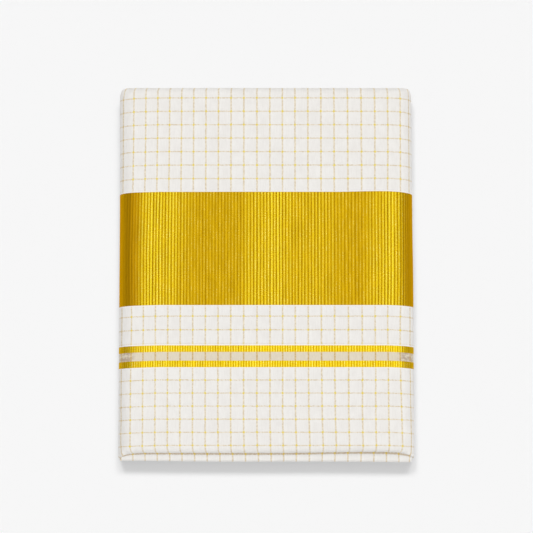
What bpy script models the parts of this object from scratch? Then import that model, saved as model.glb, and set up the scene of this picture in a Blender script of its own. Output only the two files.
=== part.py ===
"""A folded dhoti cloth: the length of cotton is folded into a narrow strip, the strip is folded over
and over into a flat pack, and its last turn wraps round the others as an outer wrap.

The part lies flat. X runs across the pack from left to right, Y from the front end, where the inner
folds show, to the back end, and Z up from the surface it rests on. The origin is the middle of the
underside. All values are in metres.
"""

import math

import bmesh
import bpy

MM = 0.001

# The whole pack
PACK_WIDTH = 250 * MM
PACK_DEPTH = 318 * MM
PACK_THICKNESS = 23 * MM

# Sides of the outer wrap, as two quarter ellipses that meet at the widest height
WIDEST_HEIGHT = 8.5 * MM
SHOULDER_INSET = 14.5 * MM
UNDER_INSET = 8 * MM

# The wall of the outer wrap, which is four layers of cotton
WRAP_WALL = 1.5 * MM
FOLD_CLEARANCE = 0.5 * MM

# The ends of the outer wrap roll over; the roll opens out towards the sides
ROLL_RADIUS = 6 * MM
ROLL_ANGLE = math.radians(100)
OPEN_ANGLE = math.radians(12)
ROLL_STARTS_AT = 0.5
ROLL_FULL_AT = 1.0
FRONT_STEP = 5.4 * MM
CORNER_DIP = 2.9 * MM
CORNER_DIP_REACH = 22 * MM
BACK_CORNER_RADIUS = 7 * MM
UNDERSIDE_SETBACK = 2.5 * MM

# Zari: gold bands run across the pack and round its sides, each with ribs along Y. A check is the
# spacing of the cotton's pale gold lines. From the front to the back:
CHECK_PITCH = 10.9 * MM
ZARI_COLUMNS = ("front", "back", "ribs_per_check", "rows")
ZARI = (
    (-80.5 * MM, -75.1 * MM, 5, 2),
    (-67.6 * MM, -62.3 * MM, 5, 2),
    (-28.0 * MM, 68.6 * MM, 4, 3),
)
RIB_HEIGHT = 0.3 * MM
RIB_RAMP = 0.6 * MM

# Inner folds, from the underside up: the height each reaches, how far its front and back edges stand
# in from the ends of the pack, and how deep its rounded edge is
FOLD_COLUMNS = ("top", "front_inset", "back_inset", "edge_depth")
FOLDS = (
    (4.3 * MM, 1.7 * MM, 2.9 * MM, 1.0 * MM),
    (6.6 * MM, 0.8 * MM, 1.9 * MM, 1.0 * MM),
    (8.9 * MM, 1.4 * MM, 2.6 * MM, 1.0 * MM),
    (14.6 * MM, 0.0 * MM, 1.4 * MM, 3.0 * MM),
)
FOLD_FRONT_CORNER = 1.3 * MM
FOLD_BACK_CORNER = 6 * MM
HIDDEN_CORNER = 14 * MM
LEDGE_RISE = 0.2 * MM

# How finely the curves are divided
SHOULDER_STEPS = 7
UNDER_STEPS = 5
UNDERSIDE_SPANS = 6
ROLL_STEPS = 6
INSIDE_ROLL_STEPS = 4
LIP_STEPS = 4
CORNER_STEPS = 6
EDGE_STEPS = 8
HIDDEN_STEPS = 6

# Finishes, with colours in linear values
COTTON = (0.855, 0.839, 0.799, 1.0)
FOLD_COTTON = (0.82, 0.80, 0.76, 1.0)
COTTON_ROUGHNESS = 0.85
ZARI_GOLD = (0.62, 0.40, 0.05, 1.0)
ZARI_ROUGHNESS = 0.35
ZARI_METALLIC = 0.6
SMOOTH_UP_TO = math.radians(40)

HALF_WIDTH = PACK_WIDTH / 2
HALF_DEPTH = PACK_DEPTH / 2


def smooth_step(low, high, value):
    share = min(max((value - low) / (high - low), 0.0), 1.0)
    return share * share * (3 - 2 * share)


class Section:
    """The outer wrap's outline in the XZ plane, read by u, the distance along it from the middle of
    the top: positive round the right side, negative round the left."""

    SAMPLES = 90

    def __init__(self):
        flat_top = HALF_WIDTH - SHOULDER_INSET
        rise = PACK_THICKNESS - WIDEST_HEIGHT
        path = [(0.0, PACK_THICKNESS, 0.0, 1.0)]
        for i in range(self.SAMPLES + 1):
            turn = math.pi / 2 * i / self.SAMPLES
            path.append(self.on_ellipse(flat_top, SHOULDER_INSET, rise, turn))
        flat_under = HALF_WIDTH - UNDER_INSET
        for i in range(1, self.SAMPLES + 1):
            turn = math.pi / 2 * (1 + i / self.SAMPLES)
            path.append(self.on_ellipse(flat_under, UNDER_INSET, WIDEST_HEIGHT, turn))
        path.append((0.0, 0.0, 0.0, -1.0))
        self.path = path
        self.lengths = [0.0]
        for a, b in zip(path, path[1:]):
            self.lengths.append(self.lengths[-1] + math.dist(a[:2], b[:2]))
        self.half = self.lengths[-1]
        self.shoulder = self.lengths[1]
        self.widest = self.lengths[1 + self.SAMPLES]
        self.underside = self.lengths[1 + 2 * self.SAMPLES]

    @staticmethod
    def on_ellipse(centre_x, across, up, turn):
        """A point on a side's ellipse and its outward normal; turn is 0 at the top."""
        x = centre_x + across * math.sin(turn)
        z = WIDEST_HEIGHT + up * math.cos(turn)
        normal = (math.sin(turn) / across, math.cos(turn) / up)
        size = math.hypot(*normal)
        return (x, z, normal[0] / size, normal[1] / size)

    def at(self, u):
        """x, z and the outward normal's x and z at u."""
        side = math.copysign(1.0, u)
        reach = min(abs(u), self.half)
        i = 1
        while self.lengths[i] < reach and i < len(self.lengths) - 1:
            i += 1
        share = (reach - self.lengths[i - 1]) / (self.lengths[i] - self.lengths[i - 1])
        x, z, nx, nz = (a + (b - a) * share for a, b in zip(self.path[i - 1], self.path[i]))
        size = math.hypot(nx, nz)
        return side * x, z, side * nx / size, nz / size

    def half_width_inside(self, z, depth):
        """Half the width, at height z, of the outline moved in by depth."""
        inside = [(z0 - nz * depth, x0 - nx * depth) for x0, z0, nx, nz in self.path[1:-1]]
        for (z_a, x_a), (z_b, x_b) in zip(inside, inside[1:]):
            if z_b <= z <= z_a:
                return x_a + (x_b - x_a) * (z_a - z) / (z_a - z_b)
        return inside[0][1] if z > inside[0][0] else inside[-1][1]


def plain_columns(section):
    """The u of the columns where the wrap has no ribs, all the way round from the underside's middle."""
    right = []
    u = CHECK_PITCH / 2
    while u < section.shoulder - CHECK_PITCH / 3:
        right.append(u)
        u += CHECK_PITCH
    for i in range(SHOULDER_STEPS):
        right.append(section.shoulder + (section.widest - section.shoulder) * i / SHOULDER_STEPS)
    for i in range(UNDER_STEPS):
        right.append(section.widest + (section.underside - section.widest) * i / UNDER_STEPS)
    for i in range(UNDERSIDE_SPANS // 2):
        right.append(section.underside + (section.half - section.underside) * i / (UNDERSIDE_SPANS // 2))
    return [-section.half] + [-u for u in reversed(right)] + right


def ribbed_columns(section, rib_pitch):
    """The same, with a column on every valley and crest of the ribs, down to the underside."""
    step = rib_pitch / 2
    count = int(section.underside / step)
    ribs = [i * step for i in range(-count, count + 1)]
    rest = [u for u in plain_columns(section) if abs(u) > count * step + step / 2]
    return sorted(ribs + rest)


def roll_angle(nz):
    """How far round the wrap's end rolls, from the height of the outward normal."""
    return OPEN_ANGLE + (ROLL_ANGLE - OPEN_ANGLE) * smooth_step(ROLL_STARTS_AT, ROLL_FULL_AT, nz)


def front_tip(x, nz):
    """Where the outer wrap's front end reaches: further forward at the corners."""
    if nz < 0:
        return -HALF_DEPTH + UNDERSIDE_SETBACK
    corner = 1 - smooth_step(0, CORNER_DIP_REACH, HALF_WIDTH - abs(x))
    return -HALF_DEPTH + FRONT_STEP - CORNER_DIP * corner


def back_tip(x, nz):
    """Where the outer wrap's back end reaches, with its corners rounded in plan."""
    into_corner = max(0.0, BACK_CORNER_RADIUS - (HALF_WIDTH - abs(x)))
    drop = math.sqrt(BACK_CORNER_RADIUS ** 2 - into_corner ** 2)
    under = smooth_step(0, 1, -nz) * UNDERSIDE_SETBACK
    return HALF_DEPTH - BACK_CORNER_RADIUS + drop - under


def roll_place(x, nz, end, share, side_of_wall):
    """y and depth on the rolled end: share runs from 0 on the flat to 1 at the lip, and
    side_of_wall from 0 on the outer face to 1 on the inner face. end is 1 at the back, -1 in front."""
    full = roll_angle(nz)
    tip = back_tip(x, nz) if end > 0 else front_tip(x, nz)
    centre = tip - end * ROLL_RADIUS * math.sin(min(full, math.pi / 2))
    radius = ROLL_RADIUS - WRAP_WALL * side_of_wall
    angle = full * share
    return centre + end * radius * math.sin(angle), ROLL_RADIUS - radius * math.cos(angle)


def lip_place(x, nz, end, share):
    """y and depth on the rounded lip that joins the wall's outer face to its inner face."""
    full = roll_angle(nz)
    y, depth = roll_place(x, nz, end, 1.0, 0.5)
    turn = math.pi * share
    out, along = math.cos(turn) * WRAP_WALL / 2, math.sin(turn) * WRAP_WALL / 2
    y += end * (out * math.sin(full) + along * math.cos(full))
    depth += -out * math.cos(full) + along * math.sin(full)
    return y, depth


def rib_rise(section, u, rib_pitch):
    """The ribs' height at u: valleys on even half pitches, crests on odd ones."""
    if abs(u) > section.underside - rib_pitch:
        return 0.0
    return RIB_HEIGHT * (round(u / (rib_pitch / 2)) % 2)


def wrap_rows(section):
    """The outer wrap's rows in order round its wall: over the outer face from front to back, round
    the back lip, and along the inner face to the front lip. Each is (columns, place, zari): place
    gives y, depth and rise from x, nz and u, and zari says that a gold band starts at the row."""
    plain = plain_columns(section)

    def rolled(end, share, side):
        return plain, lambda x, nz, u: (*roll_place(x, nz, end, share, side), 0.0), False

    def lip(end, share):
        return plain, lambda x, nz, u: (*lip_place(x, nz, end, share), 0.0), False

    def flat(y, zari):
        return plain, lambda x, nz, u: (y, 0.0, 0.0), zari

    def ribbed(y, rib_pitch, columns):
        return columns, lambda x, nz, u: (y, 0.0, rib_rise(section, u, rib_pitch)), True

    rows = [rolled(-1, 1 - i / ROLL_STEPS, 0) for i in range(ROLL_STEPS + 1)]
    for values in ZARI:
        band = dict(zip(ZARI_COLUMNS, values))
        rib_pitch = CHECK_PITCH / band["ribs_per_check"]
        columns = ribbed_columns(section, rib_pitch)
        first, last = band["front"] + RIB_RAMP, band["back"] - RIB_RAMP
        rows.append(flat(band["front"], True))
        for i in range(band["rows"]):
            y = first + (last - first) * i / (band["rows"] - 1)
            rows.append(ribbed(y, rib_pitch, columns))
        rows.append(flat(band["back"], False))
    rows += [rolled(1, i / ROLL_STEPS, 0) for i in range(ROLL_STEPS + 1)]
    rows += [lip(1, i / LIP_STEPS) for i in range(1, LIP_STEPS)]
    rows += [rolled(1, 1 - i / INSIDE_ROLL_STEPS, 1) for i in range(INSIDE_ROLL_STEPS + 1)]
    rows += [rolled(-1, i / INSIDE_ROLL_STEPS, 1) for i in range(INSIDE_ROLL_STEPS + 1)]
    rows += [lip(-1, 1 - i / LIP_STEPS) for i in range(1, LIP_STEPS)]
    return rows


def join_rows(mesh, row_a, row_b):
    """Faces between two closed rows of (u, vertex), which may have different columns."""
    if len(row_a) == len(row_b):
        faces = []
        for i in range(len(row_a)):
            k = (i + 1) % len(row_a)
            faces.append(mesh.faces.new((row_a[i][1], row_a[k][1], row_b[k][1], row_b[i][1])))
        return faces
    turn = 2 * max(abs(row_a[0][0]), abs(row_b[0][0]))
    ring_a = row_a + [(row_a[0][0] + turn, row_a[0][1])]
    ring_b = row_b + [(row_b[0][0] + turn, row_b[0][1])]
    faces = []
    i = k = 0
    while i < len(ring_a) - 1 or k < len(ring_b) - 1:
        a_next = ring_a[i + 1][0] if i < len(ring_a) - 1 else math.inf
        b_next = ring_b[k + 1][0] if k < len(ring_b) - 1 else math.inf
        if a_next <= b_next:
            faces.append(mesh.faces.new((ring_a[i][1], ring_a[i + 1][1], ring_b[k][1])))
            i += 1
        else:
            faces.append(mesh.faces.new((ring_a[i][1], ring_b[k + 1][1], ring_b[k][1])))
            k += 1
    return faces


def build_outer_wrap(section):
    """The wrap's mesh; its second material slot is the gold of the zari bands."""
    mesh = bmesh.new()
    rows = []
    zari_rows = []
    for columns, place, zari in wrap_rows(section):
        row = []
        for u in columns:
            x, z, nx, nz = section.at(u)
            y, depth, rise = place(x, nz, u)
            out = rise - depth
            row.append((u, mesh.verts.new((x + nx * out, y, z + nz * out))))
        rows.append(row)
        zari_rows.append(zari)
    for i, row in enumerate(rows):
        for face in join_rows(mesh, row, rows[(i + 1) % len(rows)]):
            face.material_index = int(zari_rows[i])
    return mesh


def plan_ring(half_width, front, back, front_corner, back_corner):
    """A rounded rectangle in plan, as (x, y) points from the front left corner onwards."""
    corners = (
        (-1, front + front_corner, front_corner),
        (1, front + front_corner, front_corner),
        (1, back - back_corner, back_corner),
        (-1, back - back_corner, back_corner),
    )
    points = []
    for quarter, (side, centre_y, radius) in enumerate(corners):
        centre_x = side * (half_width - radius)
        for i in range(CORNER_STEPS + 1):
            angle = math.pi + math.pi / 2 * (quarter + i / CORNER_STEPS)
            points.append((centre_x + radius * math.cos(angle), centre_y + radius * math.sin(angle)))
    return points


def fold_rings(section):
    """The inner folds' rings from the underside up, as (z, points): the folds whose edges show, then
    the hidden layers, which fill the outer wrap and round off inside its rolled ends."""
    clear = WRAP_WALL + FOLD_CLEARANCE
    rings = []
    bottom = clear
    for fold in FOLDS:
        size = dict(zip(FOLD_COLUMNS, fold))
        half = (size["top"] - bottom) / 2
        for i in range(0 if not rings else 1, EDGE_STEPS + 1):
            angle = math.pi * i / EDGE_STEPS
            z = bottom + half - half * math.cos(angle)
            edge = size["edge_depth"] * (1 - math.sin(angle))
            width = section.half_width_inside(z, clear)
            front = -HALF_DEPTH + size["front_inset"] + edge
            back = HALF_DEPTH - size["back_inset"] - edge
            rings.append((z, plan_ring(width, front, back, FOLD_FRONT_CORNER, FOLD_BACK_CORNER)))
        bottom = size["top"]
    reach = ROLL_RADIUS - clear
    places = [(bottom + LEDGE_RISE, math.pi / 2 - ROLL_ANGLE)]
    for i in range(HIDDEN_STEPS + 1):
        angle = math.pi / 2 - ROLL_ANGLE * (1 - i / HIDDEN_STEPS)
        places.append((PACK_THICKNESS - ROLL_RADIUS + reach * math.sin(angle), angle))
    for z, angle in places:
        out = reach * math.cos(angle)
        width = section.half_width_inside(z, clear)
        front = -HALF_DEPTH + FRONT_STEP + ROLL_RADIUS - out
        back = HALF_DEPTH - ROLL_RADIUS + out
        rings.append((z, plan_ring(width, front, back, HIDDEN_CORNER, HIDDEN_CORNER)))
    return rings


def build_inner_folds(section):
    mesh = bmesh.new()
    rows = []
    for z, points in fold_rings(section):
        rows.append([mesh.verts.new((x, y, z)) for x, y in points])
    for low, high in zip(rows, rows[1:]):
        for i in range(len(low)):
            k = (i + 1) % len(low)
            mesh.faces.new((low[i], low[k], high[k], high[i]))
    mesh.faces.new(list(reversed(rows[0])))
    mesh.faces.new(rows[-1])
    return mesh


def make_material(name, colour, roughness, metallic):
    material = bpy.data.materials.new(name)
    material.use_nodes = True
    shader = material.node_tree.nodes["Principled BSDF"]
    shader.inputs["Base Color"].default_value = colour
    shader.inputs["Roughness"].default_value = roughness
    shader.inputs["Metallic"].default_value = metallic
    material.diffuse_color = colour
    return material


def add_object(name, mesh, materials, collection):
    bmesh.ops.recalc_face_normals(mesh, faces=mesh.faces)
    data = bpy.data.meshes.new(name)
    mesh.to_mesh(data)
    mesh.free()
    for material in materials:
        data.materials.append(material)
    data.shade_smooth()
    data.set_sharp_from_angle(angle=SMOOTH_UP_TO)
    collection.objects.link(bpy.data.objects.new(name, data))


def main():
    for old in list(bpy.data.objects):
        bpy.data.objects.remove(old)
    collection = bpy.data.collections.new("folded_dhoti")
    bpy.context.scene.collection.children.link(collection)
    section = Section()
    cotton = make_material("cotton", COTTON, COTTON_ROUGHNESS, 0.0)
    zari = make_material("zari", ZARI_GOLD, ZARI_ROUGHNESS, ZARI_METALLIC)
    fold_cotton = make_material("fold_cotton", FOLD_COTTON, COTTON_ROUGHNESS, 0.0)
    add_object("outer_wrap", build_outer_wrap(section), (cotton, zari), collection)
    add_object("inner_folds", build_inner_folds(section), (fold_cotton,), collection)


main()
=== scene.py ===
import math
import random
from collections import namedtuple

import bpy
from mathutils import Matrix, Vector


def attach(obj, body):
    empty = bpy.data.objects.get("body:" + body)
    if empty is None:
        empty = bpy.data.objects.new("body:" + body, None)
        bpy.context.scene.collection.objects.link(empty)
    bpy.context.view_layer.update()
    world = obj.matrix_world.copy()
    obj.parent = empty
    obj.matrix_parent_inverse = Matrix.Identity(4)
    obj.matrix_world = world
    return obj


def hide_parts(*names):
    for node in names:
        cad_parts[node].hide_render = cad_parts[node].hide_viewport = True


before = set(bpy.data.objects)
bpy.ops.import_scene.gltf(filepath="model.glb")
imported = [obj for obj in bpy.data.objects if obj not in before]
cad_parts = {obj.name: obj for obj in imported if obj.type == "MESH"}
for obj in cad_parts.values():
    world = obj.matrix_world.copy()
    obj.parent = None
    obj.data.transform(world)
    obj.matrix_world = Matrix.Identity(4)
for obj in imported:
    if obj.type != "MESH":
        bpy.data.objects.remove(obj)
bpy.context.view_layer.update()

MM = 0.001

# The pack and its wall, as in the solids
PACK_WIDTH = 250 * MM
PACK_DEPTH = 318 * MM
PACK_THICKNESS = 23 * MM
WIDEST_HEIGHT = 8.5 * MM
SHOULDER_INSET = 14.5 * MM
UNDER_INSET = 8 * MM
WRAP_WALL = 1.5 * MM
FOLD_CLEARANCE = 0.5 * MM
HALF_WIDTH = PACK_WIDTH / 2
HALF_DEPTH = PACK_DEPTH / 2

# Rolled ends of the outer wrap. They roll over by ROLL_ANGLE on the top and by OPEN_ANGLE elsewhere,
# and pass from one to the other as the outward normal turns upright.
ROLL_RADIUS = 6 * MM
ROLL_ANGLE = math.radians(100)
OPEN_ANGLE = math.radians(12)
ROLL_STARTS_AT = 0.5
ROLL_FULL_AT = 1.0
FRONT_STEP = 6.2 * MM
BACK_CORNER_RADIUS = 7 * MM
FRONT_CORNER_RADIUS = 1.6 * MM
FLAT_MARGIN = 3 * MM
UNDERSIDE_SETBACK = 2.5 * MM

# The front end comes forward near the sides, by each depth within its reach, and draws back at one place
CORNER_DIPS = ((1.1 * MM, 20 * MM), (2.0 * MM, 7 * MM))
CREASE_RISE = 0.9 * MM
CREASE_RISE_AT = 85 * MM
CREASE_RISE_REACH = 75 * MM

# The check's lengthwise lines stand at whole values of k: their distance along the section from the
# middle of the top is CHECK_MIDDLE + CHECK_PITCH * k + CHECK_GROWTH * k * k
CHECK_MIDDLE = 2.7 * MM
CHECK_PITCH = 10.93 * MM
CHECK_GROWTH = 0.026 * MM

# The regions of the cloth from front to back: where each starts along the cloth, its material slot,
# the place of one crosswise line and the crosswise lines' pitch, and ribs to a check
Region = namedtuple("Region", "start slot line pitch ribs")
BAND_RIBS = 4
STRIPE_RIBS = 5
REGIONS = (
    Region(-200.0 * MM, "cotton", -91.6 * MM, 11.0 * MM, 0),
    Region(-80.8 * MM, "stripe", 0.0, 11.0 * MM, STRIPE_RIBS),
    Region(-75.2 * MM, "tissue", 0.0, 11.0 * MM, 0),
    Region(-67.9 * MM, "stripe", 0.0, 11.0 * MM, STRIPE_RIBS),
    Region(-62.3 * MM, "cotton", -37.6 * MM, 11.5 * MM, 0),
    Region(-28.2 * MM, "band", 0.0, 11.0 * MM, BAND_RIBS),
    Region(68.5 * MM, "cotton", 79.9 * MM, 11.6 * MM, 0),
)
SLOTS = ("cotton", "band", "stripe", "tissue")

# Ribs: their height, the ramp at a band's edges, their roundness, and how much their heights differ
RIB_HEIGHT = 0.24 * MM
RIB_RAMP = 0.35 * MM
RIB_ROUNDNESS = 0.75
RIB_UNEVENNESS = 0.3
RIB_SEED = 11
RIBS_DRAWN = 400

# Where the lengthwise lines wander: the middle of each stretch, its reach and the lines' shift
Drift = namedtuple("Drift", "u v reach_u reach_v shift")
DRIFTS = (
    Drift(1 * MM, 0, 28 * MM, 400 * MM, 0.75 * MM),
    Drift(84 * MM, 0, 30 * MM, 400 * MM, 1.0 * MM),
    Drift(45 * MM, -160 * MM, 34 * MM, 110 * MM, 0.7 * MM),
    Drift(-115 * MM, 160 * MM, 70 * MM, 140 * MM, 1.5 * MM),
    Drift(115 * MM, -75 * MM, 16 * MM, 65 * MM, -1.1 * MM),
    Drift(40 * MM, -165 * MM, 150 * MM, 50 * MM, 0.9 * MM),
    Drift(-115 * MM, 80 * MM, 45 * MM, 75 * MM, 0.55 * MM),
    Drift(-117 * MM, -43 * MM, 22 * MM, 55 * MM, 0.7 * MM),
    Drift(105 * MM, -43 * MM, 35 * MM, 50 * MM, -0.5 * MM),
    Drift(100 * MM, 130 * MM, 22 * MM, 80 * MM, 0.65 * MM),
    Drift(129 * MM, -20 * MM, 14 * MM, 400 * MM, -3.8 * MM),
)

# The same on the inner folds, where only the place across the cloth counts
FOLD_DRIFTS = (
    Drift(-118 * MM, 0, 90 * MM, MM, -1.1 * MM),
    Drift(5 * MM, 0, 75 * MM, MM, 0.75 * MM),
    Drift(75 * MM, 0, 40 * MM, MM, 0.4 * MM),
    Drift(125 * MM, 0, 20 * MM, MM, -1.2 * MM),
    Drift(40 * MM, 0, 150 * MM, MM, -0.86 * MM),
)

# The crosswise lines and bands bow towards the front at the sides
BOW_DEPTH = {"left": 1.2 * MM, "right": 1.15 * MM}
BOW_FROM = {"left": 86 * MM, "right": 100 * MM}
BOW_TO = 134 * MM

# Near the band's back right corner the cloth is drawn a little towards the back
LIFT = 0.65 * MM
LIFT_AT = (97 * MM, 66 * MM)
LIFT_REACH = (38 * MM, 26 * MM)

# The lines draw together towards one of them as the cloth rolls over at its ends, and in front the
# cloth puckers, once to each check
GATHER_CENTRE = 2.0
FRONT_GATHER = 0.012
BACK_GATHER = 0.012
GATHER_REACH = 9 * MM
PUCKER_DEPTH = 0.18 * MM
PUCKER_PHASE = 0.25

# Where the cloth of the fold below comes out from under the rolled end
CREASE_AT = REGIONS[0].line - 6 * REGIONS[0].pitch

# Soft unevenness of the top, as (height, cycles across, cycles along, phase). It comes in where the
# outward normal's height passes TOP_STARTS_AT.
TOP_STARTS_AT = 0.6
SWELLS = (
    (0.16 * MM, 1.3, 0.4, 0.6),
    (0.10 * MM, 2.7, 0.9, 2.1),
    (0.07 * MM, 0.8, 2.6, 4.0),
    (0.05 * MM, 4.3, 1.7, 1.2),
)

# Soft creases and ridges: the middle of each, its direction from across to along the
# cloth, half its length and half its width, and its height, negative for a trough. CREASE_SKIP is over
# the square root of 2, so a crease is passed over only beyond its reach.
CREASE_SKIP = 1.5
Crease = namedtuple("Crease", "u v turn length width height")
CREASES = (
    Crease(-62 * MM, -147 * MM, math.radians(4), 34 * MM, 5 * MM, -0.16 * MM),
    Crease(18 * MM, -149 * MM, math.radians(-3), 42 * MM, 6 * MM, -0.20 * MM),
    Crease(78 * MM, -146 * MM, math.radians(5), 26 * MM, 5 * MM, 0.14 * MM),
    Crease(-96 * MM, -141 * MM, math.radians(28), 17 * MM, 5 * MM, -0.18 * MM),
    Crease(101 * MM, -143 * MM, math.radians(-24), 15 * MM, 5 * MM, -0.17 * MM),
    Crease(-84 * MM, -108 * MM, math.radians(78), 36 * MM, 9 * MM, 0.12 * MM),
    Crease(34 * MM, -120 * MM, math.radians(66), 27 * MM, 8 * MM, -0.10 * MM),
    Crease(-30 * MM, 112 * MM, math.radians(81), 44 * MM, 9 * MM, -0.12 * MM),
    Crease(66 * MM, 96 * MM, math.radians(104), 31 * MM, 8 * MM, 0.11 * MM),
    Crease(-74 * MM, 143 * MM, math.radians(-6), 29 * MM, 6 * MM, -0.15 * MM),
    Crease(52 * MM, 147 * MM, math.radians(3), 47 * MM, 6 * MM, -0.17 * MM),
    Crease(-126 * MM, -128 * MM, math.radians(70), 26 * MM, 5 * MM, -0.22 * MM),
    Crease(-129 * MM, -52 * MM, math.radians(96), 19 * MM, 6 * MM, 0.16 * MM),
    Crease(-127 * MM, 24 * MM, math.radians(84), 33 * MM, 5 * MM, -0.18 * MM),
    Crease(-130 * MM, 108 * MM, math.radians(75), 24 * MM, 6 * MM, -0.24 * MM),
    Crease(-125 * MM, 139 * MM, math.radians(38), 14 * MM, 4 * MM, -0.20 * MM),
    Crease(128 * MM, -118 * MM, math.radians(107), 29 * MM, 5 * MM, -0.23 * MM),
    Crease(125 * MM, -44 * MM, math.radians(88), 22 * MM, 6 * MM, 0.15 * MM),
    Crease(131 * MM, 38 * MM, math.radians(94), 37 * MM, 6 * MM, -0.19 * MM),
    Crease(127 * MM, 97 * MM, math.radians(80), 18 * MM, 5 * MM, 0.17 * MM),
    Crease(126 * MM, 141 * MM, math.radians(-35), 15 * MM, 4 * MM, -0.21 * MM),
    Crease(128 * MM, -150 * MM, math.radians(90), 230 * MM, 13 * MM, 0.65 * MM),
    Crease(-128 * MM, 152 * MM, math.radians(90), 110 * MM, 13 * MM, 0.8 * MM),
    Crease(128 * MM, 1 * MM, math.radians(90), 100 * MM, 13 * MM, 0.5 * MM),
)

# Inner folds: height that each reaches, insets of its front and back edges, depth of its round edge,
# and how far its check lines stand aside, in checks
Fold = namedtuple("Fold", "top front back edge lines_moved")
FOLDS = (
    Fold(4.3 * MM, 1.7 * MM, 2.9 * MM, 1.0 * MM, 0.35),
    Fold(6.6 * MM, 0.8 * MM, 1.9 * MM, 1.0 * MM, -0.2),
    Fold(8.9 * MM, 1.4 * MM, 2.6 * MM, 1.0 * MM, 0.15),
    Fold(14.6 * MM, -0.5 * MM, 1.4 * MM, 3.0 * MM, 0.0),
)
FOLD_FRONT_CORNERS = (1.3 * MM, 3.4 * MM)
FOLD_BACK_CORNER = 6 * MM
FOLD_GATHER = 0.0235

# The stretch of the folds that the outer wrap hides: how far over the top fold it starts, its corners
LEDGE_RISE = 0.2 * MM
HIDDEN_CORNERS = (14 * MM, 14 * MM)

# The crease's brown line, a crosswise gold line darkened by painted shade of the crease, lies this far
# in front of the outer wrap's end
CREASE_LINE = 0.5 * MM

# The top fold is wider in front of the outer wrap, and its edges are a little askew
FOLD_FLARE = 1.4 * MM
FOLD_FLARE_LENGTH = 4.2 * MM
FOLD_SKEW = 0.004

# The folds' edges waver: how far, the length of the first fold's waver over 2 pi, how much longer each
# next one is, and how far it is out of step
FOLD_WAVER = 0.2 * MM
WAVER_LENGTH = 17 * MM
WAVER_LENGTHENING = 4 * MM
WAVER_PHASE = 2

# Layers show as grooves in the folds' edges, which are rounded SIDES_LESS times less at the sides
LAYER_PITCH = 1.4 * MM
GROOVE_DEPTH = 0.45 * MM
GROOVE_SHARPNESS = 3
SIDES_LESS = 3

# How finely the pieces are divided
FINE_PER_CHECK = 40
PLAIN_PER_CHECK = 8
INSIDE_PER_CHECK = 2
UNDERSIDE_COLUMNS = 12
ROLL_ROWS = 14
LIP_ROWS = 5
INSIDE_ROLL_ROWS = 5
ROW_SPACING = 2.5 * MM
BAND_ROW_SPACING = 6 * MM
FOLD_COLUMNS = 90
CORNER_COLUMNS = 8
ROWS_PER_LAYER = 8
HIDDEN_ROWS = 8

# Camera, fitted to the photograph's outline
CAMERA_DISTANCE = 1.85
CAMERA_TILT = math.radians(5.92)
CAMERA_AIM = Vector((0.4 * MM, 5.74 * MM, 12 * MM))
CAMERA_SENSOR_MM = 36.0
CAMERA_LENS_MM = 146.5

# Lamps: what each lights, the share of a level surface's light that it gives, its angular size, its
# tilt from overhead and the way it tilts, counted from the front towards the right. The plain
# surroundings give the rest.
Lamp = namedtuple("Lamp", "name lights share size tilt way")
LAMPS = (
    Lamp("shadow_left", "floor", 0.175, math.radians(14), math.radians(41), math.radians(197)),
    Lamp("shadow_right", "floor", 0.14, math.radians(14), math.radians(41), math.radians(165)),
    Lamp("softbox", "cloth", 0.35, math.radians(95), math.radians(4), math.radians(100)),
    Lamp("overhead", "all", 0.22, math.radians(60), math.radians(12), math.radians(168)),
    Lamp("fill", "all", 0.05, math.radians(70), math.radians(55), math.radians(20)),
)
SURROUNDINGS = 0.38
FLOOR_SIZE = 6.0
FLOOR_COLOUR = (0.963, 0.963, 0.963, 1.0)


def smooth_step(low, high, value):
    """0 up to low, 1 from high on, and a smooth rise between them."""
    share = min(max((value - low) / (high - low), 0.0), 1.0)
    return share * share * (3 - 2 * share)


def check_u(k):
    """The distance along the section of the check line k."""
    return CHECK_MIDDLE + CHECK_PITCH * k + CHECK_GROWTH * k * k


def check_k(u):
    """The check coordinate, which is whole on a line, at u along the section."""
    root = math.sqrt(CHECK_PITCH ** 2 + 4 * CHECK_GROWTH * (u - CHECK_MIDDLE))
    return (root - CHECK_PITCH) / (2 * CHECK_GROWTH)


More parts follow.
